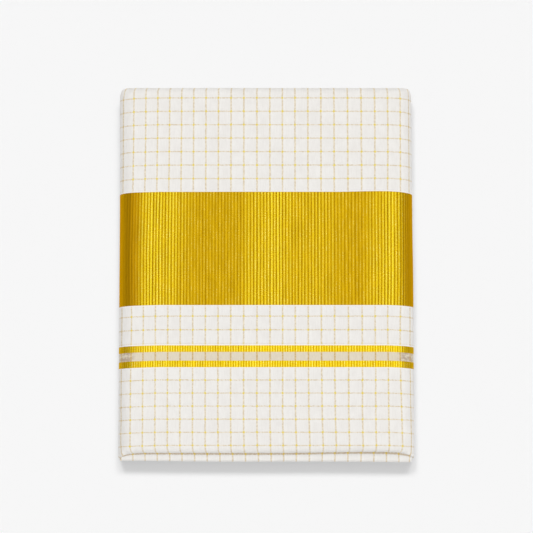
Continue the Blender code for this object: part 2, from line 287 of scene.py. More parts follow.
class Section:
    """The outer wrap's outline in the XZ plane, read by u, the distance along it from the middle of
    the top: positive round the right side, negative round the left."""

    SAMPLES = 90

    def __init__(self):
        flat_top = HALF_WIDTH - SHOULDER_INSET
        rise = PACK_THICKNESS - WIDEST_HEIGHT
        path = [(0.0, PACK_THICKNESS, 0.0, 1.0)]
        for i in range(self.SAMPLES + 1):
            turn = math.pi / 2 * i / self.SAMPLES
            path.append(self.on_ellipse(flat_top, SHOULDER_INSET, rise, turn))
        flat_under = HALF_WIDTH - UNDER_INSET
        for i in range(1, self.SAMPLES + 1):
            turn = math.pi / 2 * (1 + i / self.SAMPLES)
            path.append(self.on_ellipse(flat_under, UNDER_INSET, WIDEST_HEIGHT, turn))
        path.append((0.0, 0.0, 0.0, -1.0))
        self.path = path
        self.lengths = [0.0]
        for a, b in zip(path, path[1:]):
            self.lengths.append(self.lengths[-1] + math.dist(a[:2], b[:2]))
        self.half = self.lengths[-1]
        self.underside = self.lengths[1 + 2 * self.SAMPLES]

    @staticmethod
    def on_ellipse(centre_x, across, up, turn):
        """A point on a side's ellipse and its outward normal; turn is 0 at the top."""
        x = centre_x + across * math.sin(turn)
        z = WIDEST_HEIGHT + up * math.cos(turn)
        normal = (math.sin(turn) / across, math.cos(turn) / up)
        size = math.hypot(*normal)
        return (x, z, normal[0] / size, normal[1] / size)

    def at(self, u):
        """x, z and the outward normal's x and z at u."""
        side = math.copysign(1.0, u)
        reach = min(abs(u), self.half)
        i = 1
        while self.lengths[i] < reach and i < len(self.lengths) - 1:
            i += 1
        share = (reach - self.lengths[i - 1]) / (self.lengths[i] - self.lengths[i - 1])
        x, z, nx, nz = (a + (b - a) * share for a, b in zip(self.path[i - 1], self.path[i]))
        size = math.hypot(nx, nz)
        return side * x, z, side * nx / size, nz / size

    def half_width_inside(self, z, depth):
        """Half the width, at height z, of the outline moved in by depth."""
        inside = [(z0 - nz * depth, x0 - nx * depth) for x0, z0, nx, nz in self.path[1:-1]]
        for (z_a, x_a), (z_b, x_b) in zip(inside, inside[1:]):
            if z_b <= z <= z_a:
                return x_a + (x_b - x_a) * (z_a - z) / (z_a - z_b)
        return inside[0][1] if z > inside[0][0] else inside[-1][1]


def roll_angle(nz):
    """How far round the wrap's end rolls, from the height of the outward normal."""
    return OPEN_ANGLE + (ROLL_ANGLE - OPEN_ANGLE) * smooth_step(ROLL_STARTS_AT, ROLL_FULL_AT, nz)


def hump(value, centre, reach):
    """1 at the centre and 0 beyond the reach."""
    return 1 - smooth_step(0, reach, abs(value - centre))


def end_tip(x, nz, end):
    """Where the outer wrap ends along Y: end is 1 at the back and -1 in front."""
    if end < 0:
        dip = sum(depth * hump(HALF_WIDTH - abs(x), 0, reach) for depth, reach in CORNER_DIPS)
        rise = CREASE_RISE * hump(x, CREASE_RISE_AT, CREASE_RISE_REACH)
        into_corner = max(0.0, FRONT_CORNER_RADIUS - (HALF_WIDTH - abs(x)))
        cut = FRONT_CORNER_RADIUS - math.sqrt(FRONT_CORNER_RADIUS ** 2 - into_corner ** 2)
        step = FRONT_STEP + rise - dip + cut if nz >= 0 else UNDERSIDE_SETBACK
        return -HALF_DEPTH + step
    into_corner = max(0.0, BACK_CORNER_RADIUS - (HALF_WIDTH - abs(x)))
    drop = math.sqrt(BACK_CORNER_RADIUS ** 2 - into_corner ** 2)
    return HALF_DEPTH - BACK_CORNER_RADIUS + drop - smooth_step(0, 1, -nz) * UNDERSIDE_SETBACK


class End:
    """The rolled end of one column of the wrap."""

    def __init__(self, x, nz, end, bow):
        self.end = end
        self.bow = bow
        self.full = roll_angle(nz)
        self.centre = end_tip(x, nz, end) - end * ROLL_RADIUS * math.sin(min(self.full, math.pi / 2))
        self.lip = self.centre + end * ROLL_RADIUS * self.full

    def rolled(self, share, side_of_wall):
        """y, depth and cloth length; share is 0 on the flat and 1 at the lip, and side_of_wall is 0
        on the outer face and 1 on the inner face."""
        radius = ROLL_RADIUS - WRAP_WALL * side_of_wall
        angle = self.full * share
        y = self.centre + self.end * radius * math.sin(angle)
        v = self.centre + self.end * ROLL_RADIUS * angle + self.bow
        return y, ROLL_RADIUS - radius * math.cos(angle), v

    def lipped(self, share):
        """The same on the rounded lip, from the outer face to the inner face."""
        y, depth, v = self.rolled(1.0, 0.5)
        turn = math.pi * share
        out, along = math.cos(turn) * WRAP_WALL / 2, math.sin(turn) * WRAP_WALL / 2
        y += self.end * (out * math.sin(self.full) + along * math.cos(self.full))
        depth += -out * math.cos(self.full) + along * math.sin(self.full)
        return y, depth, v + self.end * WRAP_WALL / 2 * turn


def lines_shift(drifts, u, v):
    """How far the lengthwise lines stand aside of their even places."""
    shift = 0.0
    for drift in drifts:
        shift += drift.shift * hump(u, drift.u, drift.reach_u) * hump(v, drift.v, drift.reach_v)
    return shift


def drifted(u, v):
    """The check coordinate at a place on the cloth, with the lines' wandering."""
    return check_k(u - lines_shift(DRIFTS, u, v))


def gathered(k, v, front, back):
    """The check coordinate k where the cloth draws in towards its rolled ends."""
    towards_front = 1 - smooth_step(0, GATHER_REACH, v - front.lip)
    towards_back = 1 - smooth_step(0, GATHER_REACH, back.lip - v)
    draw = FRONT_GATHER * towards_front + BACK_GATHER * towards_back
    return k + draw * (k - GATHER_CENTRE)


def swell(x, y):
    """The height of the soft unevenness."""
    total = 0.0
    for height, across, along, phase in SWELLS:
        total += height * math.sin(math.tau * (across * x / PACK_WIDTH + along * y / PACK_DEPTH) + phase)
    return total


def creased(u, v):
    """The height of the soft creases at a place on the cloth."""
    total = 0.0
    for crease in CREASES:
        off_u, off_v = u - crease.u, v - crease.v
        if abs(off_u) + abs(off_v) > CREASE_SKIP * (crease.length + crease.width):
            continue
        along = off_u * math.cos(crease.turn) + off_v * math.sin(crease.turn)
        aside = off_v * math.cos(crease.turn) - off_u * math.sin(crease.turn)
        total += crease.height * hump(along, 0, crease.length) * hump(aside, 0, crease.width)
    return total


def rib_heights():
    """One height for each rib of a band, a little uneven."""
    draw = random.Random(RIB_SEED)
    return [RIB_HEIGHT * (1 - RIB_UNEVENNESS * draw.random()) for _ in range(RIBS_DRAWN)]


def rib_rise(k, ribs, heights, section, u):
    """The rib's height over the wrap at k, from a narrow valley to a round crest."""
    place = k * ribs
    number = math.floor(place)
    across = abs(math.sin(math.pi * (place - number))) ** RIB_ROUNDNESS
    fade = smooth_step(0, CHECK_PITCH / 2, section.underside - abs(u))
    return heights[number % len(heights)] * across * fade


class Cloth:
    """A mesh in the making: points, faces, slots, and the cloth's two coordinate maps. The check map
    is whole on the check's lines, and the yarn map is in metres along the cloth."""

    def __init__(self):
        self.points, self.faces, self.slots = [], [], []
        self.check, self.yarn = [], []

    def point(self, place):
        self.points.append(place)
        return len(self.points) - 1

    def face(self, corners, region):
        """corners are (point, k, u, v)."""
        self.faces.append([corner[0] for corner in corners])
        self.slots.append(SLOTS.index(region.slot))
        for _, k, u, v in corners:
            self.check.append((k, (v - region.line) / region.pitch))
            self.yarn.append((u, v))

    def join(self, row_a, row_b, region):
        """Faces between two closed rows of (point, k, u, v) with columns of their own."""
        if len(row_a) == len(row_b):
            for i in range(len(row_a) - 1):
                self.face((row_a[i], row_a[i + 1], row_b[i + 1], row_b[i]), region)
            return
        i = j = 0
        while i < len(row_a) - 1 or j < len(row_b) - 1:
            a_next = row_a[i + 1][2] if i < len(row_a) - 1 else math.inf
            b_next = row_b[j + 1][2] if j < len(row_b) - 1 else math.inf
            if a_next <= b_next:
                self.face((row_a[i], row_a[i + 1], row_b[j]), region)
                i += 1
            else:
                self.face((row_a[i], row_b[j + 1], row_b[j]), region)
                j += 1

    def build(self, name, materials):
        mesh = bpy.data.meshes.new(name)
        mesh.from_pydata(self.points, [], self.faces)
        for material in materials:
            mesh.materials.append(material)
        mesh.polygons.foreach_set("material_index", self.slots)
        for map_name, values in (("check", self.check), ("yarn", self.yarn)):
            layer = mesh.uv_layers.new(name=map_name)
            layer.uv.foreach_set("vector", [number for pair in values for number in pair])
        mesh.shade_smooth()
        mesh.update()
        piece = bpy.data.objects.new(name, mesh)
        bpy.context.scene.collection.objects.link(piece)
        return piece


class Column:
    """A column of the wrap: its place on the section, and its two rolled ends."""

    def __init__(self, section, u):
        self.u = u
        self.x, self.z, self.nx, self.nz = section.at(u)
        side = "left" if u < 0 else "right"
        self.bow = BOW_DEPTH[side] * smooth_step(BOW_FROM[side], BOW_TO, abs(u))
        self.front = End(self.x, self.nz, -1, self.bow)
        self.back = End(self.x, self.nz, 1, self.bow)
        self.on_top = smooth_step(TOP_STARTS_AT, 1.0, self.nz)


def wrap_columns(section, per_check):
    """Columns all the way round, evenly spaced in the check, and a few across the underside."""
    low = math.ceil(check_k(-section.underside) * per_check)
    high = math.floor(check_k(section.underside) * per_check)
    sides = [check_u(i / per_check) for i in range(low, high + 1)]
    step = (section.half - section.underside) * 2 / UNDERSIDE_COLUMNS
    under = [section.underside + step * (i + 0.5) for i in range(UNDERSIDE_COLUMNS // 2)]
    places = [-section.half] + [-u for u in reversed(under)] + sides + under
    return [Column(section, u) for u in places]


def build_wrap(section, materials):
    """The last turn of the folded strip: outer face, rolled ends, rounded lips and inner face."""
    cloth = Cloth()
    fine = wrap_columns(section, FINE_PER_CHECK)
    plain = wrap_columns(section, PLAIN_PER_CHECK)
    inside = wrap_columns(section, INSIDE_PER_CHECK)
    heights = rib_heights()
    first, last = REGIONS[0], REGIONS[-1]
    rows = []

    def add(columns, region, place, outer=True, ribs=0):
        """place gives y, depth and cloth length for a column."""
        row = []
        for column in columns:
            y, depth, v = place(column)
            out = -depth
            k = drifted(column.u, v)
            if outer:
                k = gathered(k, v, column.front, column.back)
                to_lip = 1 - smooth_step(0, GATHER_REACH, v - column.front.lip)
                pucker = 0.5 + 0.5 * math.cos(math.tau * (k - PUCKER_PHASE))
                on_flat = smooth_step(0, GATHER_REACH, abs(v - column.front.lip))
                out += swell(column.x, y) * column.on_top * on_flat
                out += creased(column.u, v)
                out -= PUCKER_DEPTH * to_lip * pucker * column.on_top
            if ribs:
                out += rib_rise(k, ribs, heights, section, column.u)
            place_at = (column.x + column.nx * out, y, column.z + column.nz * out)
            row.append((cloth.point(place_at), k, column.u, v))
        v = row[0][3]
        row.append((row[0][0], drifted(section.half, v), section.half, v))
        rows.append((row, region))

    def flat(v):
        """A function that places a column's point on the flat cloth, at the cloth length v."""
        near = LIFT * hump(v, LIFT_AT[1], LIFT_REACH[1])

        def place(column):
            return v - column.bow + near * hump(column.u, LIFT_AT[0], LIFT_REACH[0]), 0.0, v

        return place

    def spaced(low, high, spacing):
        """Places between two others along the flat cloth: close to each of them, and in even steps."""
        low, high = low + RIB_RAMP, high - RIB_RAMP
        count = max(1, round((high - low) / spacing))
        return [low + (high - low) * i / count for i in range(count + 1)]

    for i in range(ROLL_ROWS):
        add(plain, first, lambda column, i=i: column.front.rolled(1 - i / ROLL_ROWS, 0))
    flat_front = -HALF_DEPTH + FRONT_STEP + ROLL_RADIUS
    flat_back = HALF_DEPTH - ROLL_RADIUS
    add(plain, first, lambda column: column.front.rolled(0, 0))
    for number, region in enumerate(REGIONS):
        start = max(region.start, flat_front)
        end = REGIONS[number + 1].start if number + 1 < len(REGIONS) else flat_back
        if region.ribs:
            add(fine, region, flat(start))
            add(fine, region, flat(start + RIB_RAMP), ribs=region.ribs)
            for y in spaced(start + RIB_RAMP, end - RIB_RAMP, BAND_ROW_SPACING):
                add(fine, region, flat(y), ribs=region.ribs)
            add(fine, region, flat(end - RIB_RAMP), ribs=region.ribs)
            add(fine, REGIONS[min(number + 1, len(REGIONS) - 1)], flat(end))
            continue
        margin_low = RIB_RAMP if number else FLAT_MARGIN
        margin_high = RIB_RAMP if number + 1 < len(REGIONS) else 0.0
        if number:
            add(plain, region, flat(start + margin_low))
        for y in spaced(start + margin_low, end - margin_high, ROW_SPACING):
            add(plain, region, flat(y))
        if margin_high:
            add(plain, region, flat(end - margin_high))
    for i in range(ROLL_ROWS + 1):
        add(plain, last, lambda column, i=i: column.back.rolled(i / ROLL_ROWS, 0))
    for i in range(1, LIP_ROWS):
        add(plain, last, lambda column, i=i: column.back.lipped(i / LIP_ROWS))
    for i in range(INSIDE_ROLL_ROWS + 1):
        add(inside, last, lambda column, i=i: column.back.rolled(1 - i / INSIDE_ROLL_ROWS, 1), outer=False)
    for i in range(INSIDE_ROLL_ROWS + 1):
        add(inside, first, lambda column, i=i: column.front.rolled(i / INSIDE_ROLL_ROWS, 1), outer=False)
    for i in range(1, LIP_ROWS):
        add(plain, first, lambda column, i=i: column.front.lipped(1 - i / LIP_ROWS))
    for i, (row, region) in enumerate(rows):
        cloth.join(row, rows[(i + 1) % len(rows)][0], region)
    return cloth.build("outer_cloth", materials)


def plan_ring(half_width, front, back, front_corners, back_corner, waver, flare=0.0):
    """A rounded rectangle in plan, as (x, y) points from the front left corner onwards. The front
    corners' radii are the left one's and the right one's, waver moves the edges along Y, and flare
    widens the stretch in front of the outer wrap."""
    flare_end = front + FOLD_FLARE_LENGTH
    corners = (
        (-1, front, front_corners[0]),
        (1, front, front_corners[1]),
        (1, back, back_corner),
        (-1, back, back_corner),
    )
    points = []
    for quarter, (side, edge, radius) in enumerate(corners):
        reach = half_width + (flare if quarter < 2 else 0.0)
        centre_x = side * (reach - radius)
        centre_y = edge + waver(centre_x) + (radius if quarter < 2 else -radius)
        for i in range(CORNER_COLUMNS + 1):
            angle = math.pi + math.pi / 2 * (quarter + i / CORNER_COLUMNS)
            points.append((centre_x + radius * math.cos(angle), centre_y + radius * math.sin(angle)))
        if quarter in (0, 2):
            far = -side * (reach - corners[quarter + 1][2])
            for i in range(1, FOLD_COLUMNS):
                x = centre_x + (far - centre_x) * i / FOLD_COLUMNS
                points.append((x, edge + waver(x)))
        if quarter == 1:
            points.append((half_width, flare_end))
    points.append((-half_width, flare_end))
    return points


def fold_rings(section):
    """The inner folds' rings from the underside up, as (z, front edge, points, lines_moved)."""
    clear = WRAP_WALL + FOLD_CLEARANCE
    rings = []
    bottom = clear
    for number, fold in enumerate(FOLDS):
        thick = fold.top - bottom
        layers = max(1, round(thick / LAYER_PITCH))
        levels = ROWS_PER_LAYER * layers
        skew, flare = (FOLD_SKEW, FOLD_FLARE) if fold is FOLDS[-1] else (0.0, 0.0)
        length = WAVER_LENGTH + number * WAVER_LENGTHENING

        def waver(x, length=length, phase=WAVER_PHASE * number, skew=skew):
            return FOLD_WAVER * math.sin(x / length + phase) - skew * (x + HALF_WIDTH)

        for i in range(0 if not rings else 1, levels + 1):
            share = i / levels
            groove = GROOVE_DEPTH * (1 - abs(math.sin(math.pi * share * layers))) ** GROOVE_SHARPNESS
            edge = fold.edge * (1 - math.sqrt(max(0.0, 1 - (2 * share - 1) ** 2)))
            if 0 < i < levels:
                edge += groove
            z = bottom + thick * share
            inset = edge / SIDES_LESS if 0 < i < levels else 0.0
            width = section.half_width_inside(z, clear) - inset
            front = -HALF_DEPTH + fold.front + edge
            back = HALF_DEPTH - fold.back - edge
            points = plan_ring(width, front, back, FOLD_FRONT_CORNERS, FOLD_BACK_CORNER, waver, flare)
            rings.append((z, front, points, fold.lines_moved))
        bottom = fold.top
    reach = ROLL_RADIUS - clear
    places = [(bottom + LEDGE_RISE, math.pi / 2 - ROLL_ANGLE)]
    for i in range(HIDDEN_ROWS + 1):
        angle = math.pi / 2 - ROLL_ANGLE * (1 - i / HIDDEN_ROWS)
        places.append((PACK_THICKNESS - ROLL_RADIUS + reach * math.sin(angle), angle))
    for z, angle in places:
        out = reach * math.cos(angle)
        width = section.half_width_inside(z, clear)
        front = -HALF_DEPTH + FRONT_STEP + ROLL_RADIUS - out
        back = HALF_DEPTH - ROLL_RADIUS + out
        points = plan_ring(width, front, back, HIDDEN_CORNERS, HIDDEN_CORNERS[0], lambda x: 0.0)
        rings.append((z, front, points, 0.0))
    return rings


def build_folds(section, materials):
    """The inner folds, whose check lines carry on from those of the outer wrap's rolled end."""
    cloth = Cloth()
    region = REGIONS[0]
    rings = fold_rings(section)
    top_edge = next(i for i, ring in enumerate(rings) if ring[0] == FOLDS[-1].top)
    rows = []
    for level, (z, front, points, moved) in enumerate(rings):
        along = -rings[top_edge][1]
        for low, high in zip(rings[level:top_edge], rings[level + 1:top_edge + 1]):
            along += math.dist(low[:2], high[:2])
        row = []
        for x, y in points:
            k = drifted(x - lines_shift(FOLD_DRIFTS, x, 0), -HALF_DEPTH)
            k += FOLD_GATHER * (k - GATHER_CENTRE) + moved
            crease = end_tip(x, 1, -1) - CREASE_LINE
            v = CREASE_AT - crease + (y if level > top_edge else -along)
            row.append((cloth.point((x, y, z)), k, x, v))
        rows.append(row + [row[0]])
    for low, high in zip(rows, rows[1:]):
        cloth.join(low, high, region)
    cloth.face(list(reversed(rows[0][:-1])), region)
    cloth.face(rows[-1][:-1], region)
    return cloth.build("inner_cloth", materials)


class Finish:
    """A material, with short ways to add its nodes."""

    def __init__(self, name, roughness, metallic=0.0):
        self.material = bpy.data.materials.new(name)
        self.material.use_nodes = True
        self.tree = self.material.node_tree
        self.shader = self.tree.nodes["Principled BSDF"]
        self.shader.inputs["Roughness"].default_value = roughness
        self.shader.inputs["Metallic"].default_value = metallic

    def link(self, value, socket):
        if isinstance(value, bpy.types.NodeSocket):
            self.tree.links.new(value, socket)
        else:
            socket.default_value = value

    def node(self, kind, **settings):
        node = self.tree.nodes.new(kind)
        for name, value in settings.items():
            setattr(node, name, value)
        return node

    def maths(self, operation, *values):
        node = self.node("ShaderNodeMath", operation=operation)
        for value, socket in zip(values, node.inputs):
            self.link(value, socket)
        return node.outputs[0]

    def times(self, value, *factors):
        """The product of all the values."""
        for factor in factors:
            value = self.maths("MULTIPLY", value, factor)
        return value

    def plus(self, value, *others):
        """The sum of all the values."""
        for other in others:
            value = self.maths("ADD", value, other)
        return value

    def distance(self, value, place):
        """How far value is from place, on either side of it."""
        return self.maths("ABSOLUTE", self.maths("SUBTRACT", value, place))

    def coordinates(self, map_name):
        """The two sockets of one of the cloth's maps."""
        node = self.node("ShaderNodeUVMap", uv_map=map_name)
        split = self.node("ShaderNodeSeparateXYZ")
        self.link(node.outputs[0], split.inputs[0])
        return split.outputs[0], split.outputs[1]

    def noise(self, x, y, x_size, y_size, seed=0.0, detail=2.0):
        """Noise in cells of x_size by y_size metres. Each seed gives a pattern of its own."""
        cells = self.node("ShaderNodeCombineXYZ")
        self.link(self.maths("DIVIDE", x, x_size), cells.inputs[0])
        self.link(self.maths("DIVIDE", y, y_size), cells.inputs[1])
        self.link(seed, cells.inputs[2])
        node = self.node("ShaderNodeTexNoise")
        node.inputs["Scale"].default_value = 1.0
        node.inputs["Detail"].default_value = detail
        self.link(cells.outputs[0], node.inputs["Vector"])
        return node.outputs["Fac"]

    def random_per(self, value):
        """A random number for each whole step of value."""
        node = self.node("ShaderNodeTexWhiteNoise", noise_dimensions="1D")
        self.link(self.maths("FLOOR", value), node.inputs["W"])
        return node.outputs["Value"]

    def between(self, value, low, high, to_low=0.0, to_high=1.0, smooth=True):
        """value's way from low to high, as a way from to_low to to_high."""
        node = self.node("ShaderNodeMapRange")
        node.interpolation_type = "SMOOTHSTEP" if smooth else "LINEAR"
        for number, socket in zip((value, low, high, to_low, to_high), node.inputs):
            self.link(number, socket)
        return node.outputs[0]

    def mix(self, share, first, second):
        """A colour between two others: the first where share is 0 and the second where it is 1."""
        node = self.node("ShaderNodeMix", data_type="RGBA")
        self.link(share, node.inputs[0])
        self.link(first, node.inputs[6])
        self.link(second, node.inputs[7])
        return node.outputs[2]

    def bump(self, height):
        """Raise the surface, by BUMP_DEPTH where height is 1."""
        node = self.node("ShaderNodeBump")
        node.inputs["Distance"].default_value = BUMP_DEPTH
        self.link(height, node.inputs["Height"])
        self.link(node.outputs[0], self.shader.inputs["Normal"])

    def line(self, coordinate, half_width, soft):
        """1 on the whole values of a check coordinate and 0 between them, with sizes in metres."""
        off = self.distance(self.maths("FRACT", self.plus(coordinate, 0.5)), 0.5)
        return self.between(self.times(off, CHECK_PITCH), half_width - soft, half_width + soft, 1.0, 0.0)

    def weave(self, u, v):
        """The height of a plain weave."""
        across = self.maths("SINE", self.times(u, math.pi / THREAD))
        along = self.maths("SINE", self.times(v, math.pi / THREAD))
        return self.times(across, along)


# Colours, in linear values
COTTON_WHITE = (0.905, 0.885, 0.852, 1.0)
COTTON_SHADE = (0.845, 0.82, 0.785, 1.0)
EDGE_WHITE = (0.93, 0.91, 0.90, 1.0)
LINE_BEIGE = (0.66, 0.53, 0.34, 1.0)
LINE_GOLD = (0.80, 0.65, 0.38, 1.0)
DOT_GOLD = (0.86, 0.69, 0.09, 1.0)
SIDE_DOT = (0.60, 0.42, 0.17, 1.0)
# The crease's line and dots, darkened by painted shade of the crease
CREASE_SHADED_BROWN = (0.50, 0.36, 0.22, 1.0)
CREASE_SHADED_DOT = (0.68, 0.43, 0.09, 1.0)
# Painted highlight and painted pale glints on the zari's crests
ZARI_CREST_HIGHLIGHT = (0.86, 0.73, 0.03, 1.0)
ZARI_PALE_GLINT = (0.84, 0.78, 0.23, 1.0)
ZARI_FLANK = (0.64, 0.41, 0.003, 1.0)
# The flank's colour where no painted gleam falls
ZARI_DIM = (0.54, 0.33, 0.003, 1.0)
STRIPE_FLANK = (0.83, 0.61, 0.006, 1.0)
# The valleys' colours carry painted shade of the grooves between the ribs
ZARI_VALLEY_SHADE = (0.33, 0.165, 0.001, 1.0)
STRIPE_VALLEY_SHADE = (0.55, 0.28, 0.001, 1.0)
# Painted shade of the zari's shoulders: plainer at the sides and darker beside them
ZARI_SHADED_SIDE = (0.69, 0.37, 0.003, 1.0)
ZARI_SIDE_SHADE = (0.38, 0.195, 0.002, 1.0)
ZARI_GRAZING = (1.0, 0.75, 0.15, 1.0)
TISSUE_BEIGE = (0.78, 0.70, 0.55, 1.0)
TISSUE_BROWN = (0.58, 0.49, 0.38, 1.0)
TISSUE_LINE = (0.52, 0.33, 0.09, 1.0)
TISSUE_GOLD = (0.70, 0.47, 0.15, 1.0)
# The brown that the tissue darkens to in blots near both sides
TISSUE_BLOT_BROWN = (0.45, 0.34, 0.25, 1.0)

# Sizes in the weave: the spacing of the cotton's threads and of the gold threads that cross the ribs,
# and the depth of the bump that both give
THREAD = 0.32 * MM
GOLD_THREAD = 0.5 * MM
BUMP_DEPTH = 0.03 * MM

# The check's lines: half the width and the softness of those along and across the cloth, of the last
# one at each side, of the dots where they cross, and of those on the tissue strip
LINE_ALONG = (0.62 * MM, 0.3 * MM)
LINE_ACROSS = (0.45 * MM, 0.25 * MM)
LINE_LAST = (0.8 * MM, 0.35 * MM)
LINE_DOT = (0.75 * MM, 0.4 * MM)
LINE_ON_TISSUE = (0.6 * MM, 0.3 * MM)
LINE_WAVER = 0.012

# Where the lines and dots change towards the sides, counted from the middle of the top: the last line
# comes in and goes out, the bright dots grow faint, and the dull dots come in
LAST_LINE_IN = (120 * MM, 127 * MM)
LAST_LINE_OUT = (130 * MM, 135 * MM)
BRIGHT_DOTS_OUT = (115 * MM, 121 * MM)
DULL_DOTS_IN = (119 * MM, 125 * MM)

# The width of the white line beside each band, the place of the one crosswise line that is faint, and
# the distance of the tissue's darker brown blots near both sides, counted from the middle of the top
EDGE_LINE = 0.8 * MM
FAINT_LINE = -60.6 * MM
TISSUE_BLOTS_AT = 120 * MM

# Where the ribs take a painted gleam, a painted reflection in broad bands, and where they take painted
# shade beside the shoulders: the middle of each stretch, its reach and its strength. The gleams lean a
# little, about GLEAM_MIDDLE.
Stretch = namedtuple("Stretch", "u reach strength")
GLEAMS = (
    Stretch(-94 * MM, 36 * MM, 0.95),
    Stretch(3 * MM, 32 * MM, 1.0),
    Stretch(38 * MM, 38 * MM, 0.45),
    Stretch(106 * MM, 29 * MM, 0.88),
)
GLEAM_LEAN = 0.06
GLEAM_MIDDLE = 20 * MM
# The dark stretches are painted shade beside the shoulders
SHADED_SIDES = (
    Stretch(-113 * MM, 12 * MM, 1.15),
    Stretch(120 * MM, 6 * MM, 0.25),
)
DARK_CORE = 2 * MM

# Towards the sides the ribs pass into one plainer colour, a painted shade of the shoulders: on the left
# from where the look says, over FADE_LENGTH, and on the right over RIGHT_FADE. The ribs lean by
# RIB_LEAN of a rib, and VALLEY_NUMBERS draws the valleys' random numbers half a rib aside, far from
# those of the ribs.
FADE_LENGTH = 14 * MM
RIGHT_FADE = (111 * MM, 125 * MM)
RIB_LEAN = 0.07
VALLEY_NUMBERS = 200.5

# The looks of the ribbed bands: ribs to a check, how much painted gleam is left between the gleams, the
# colours of the flanks and of the valleys with their painted shade, how strongly the crests take their
# painted pale glints, where the left side's fade starts, how dark the painted shade of the dark
# stretches is, and how far the sides take their plainer colour, a painted shade
ZariLook = namedtuple("ZariLook", "name ribs dim_gloss flank valley paleness fades_at darkness side")
BAND_LOOK = ZariLook(
    "zari_band", BAND_RIBS, 0.12, ZARI_FLANK, ZARI_VALLEY_SHADE, 0.95, -118 * MM, 0.6, 0.75
)
STRIPE_LOOK = ZariLook(
    "zari_stripe", STRIPE_RIBS, 0.75, STRIPE_FLANK, STRIPE_VALLEY_SHADE, 1.7, -125 * MM, 0.3, 0.45
)


def edge_line(finish, v):
    """1 on the white lines beside the bands and 0 away from them."""
    mask = 0.0
    for region, following in zip(REGIONS, REGIONS[1:]):
        if region.slot == "cotton":
            continue
        for middle in (region.start - EDGE_LINE / 2, following.start + EDGE_LINE / 2):
            line = finish.between(finish.distance(v, middle), EDGE_LINE * 0.3, EDGE_LINE * 0.8, 1.0, 0.0)
            mask = finish.maths("MAXIMUM", mask, line)
    return mask


def cotton_ground(finish, k, u, v, slub):
    """The cotton between the lines, a little uneven, with painted shade of soft puckers in patches
    and a painted highlight on a strip beside each lengthwise line.
    """
    cross_slub = finish.noise(u, v, 7 * MM, 1.1 * MM, 3.0)
    cloud = finish.noise(u, v, 30 * MM, 40 * MM, 7.0)
    # Painted light and shade of soft puckers, in patches about a check across
    painted_pucker_shade = finish.noise(u, v, 8 * MM, 10 * MM, 11.0, detail=1.0)
    # A painted highlight on the lit strip beside each lengthwise line
    painted_lit_strip = finish.between(finish.maths("FRACT", k), 0.05, 0.4, 1.0, 0.35)
    tone = 0.0
    for part, share in ((slub, 0.36), (cross_slub, 0.1), (cloud, 0.16), (painted_pucker_shade, 0.26), (painted_lit_strip, 0.12)):
        tone = finish.plus(tone, finish.times(part, share))
    return finish.mix(finish.between(tone, 0.35, 0.65), COTTON_SHADE, COTTON_WHITE)


def wavering(finish, coordinate, waver):
    """A check coordinate whose lines waver a little with a noise."""
    return finish.plus(coordinate, finish.between(waver, 0.3, 0.7, -LINE_WAVER, LINE_WAVER))


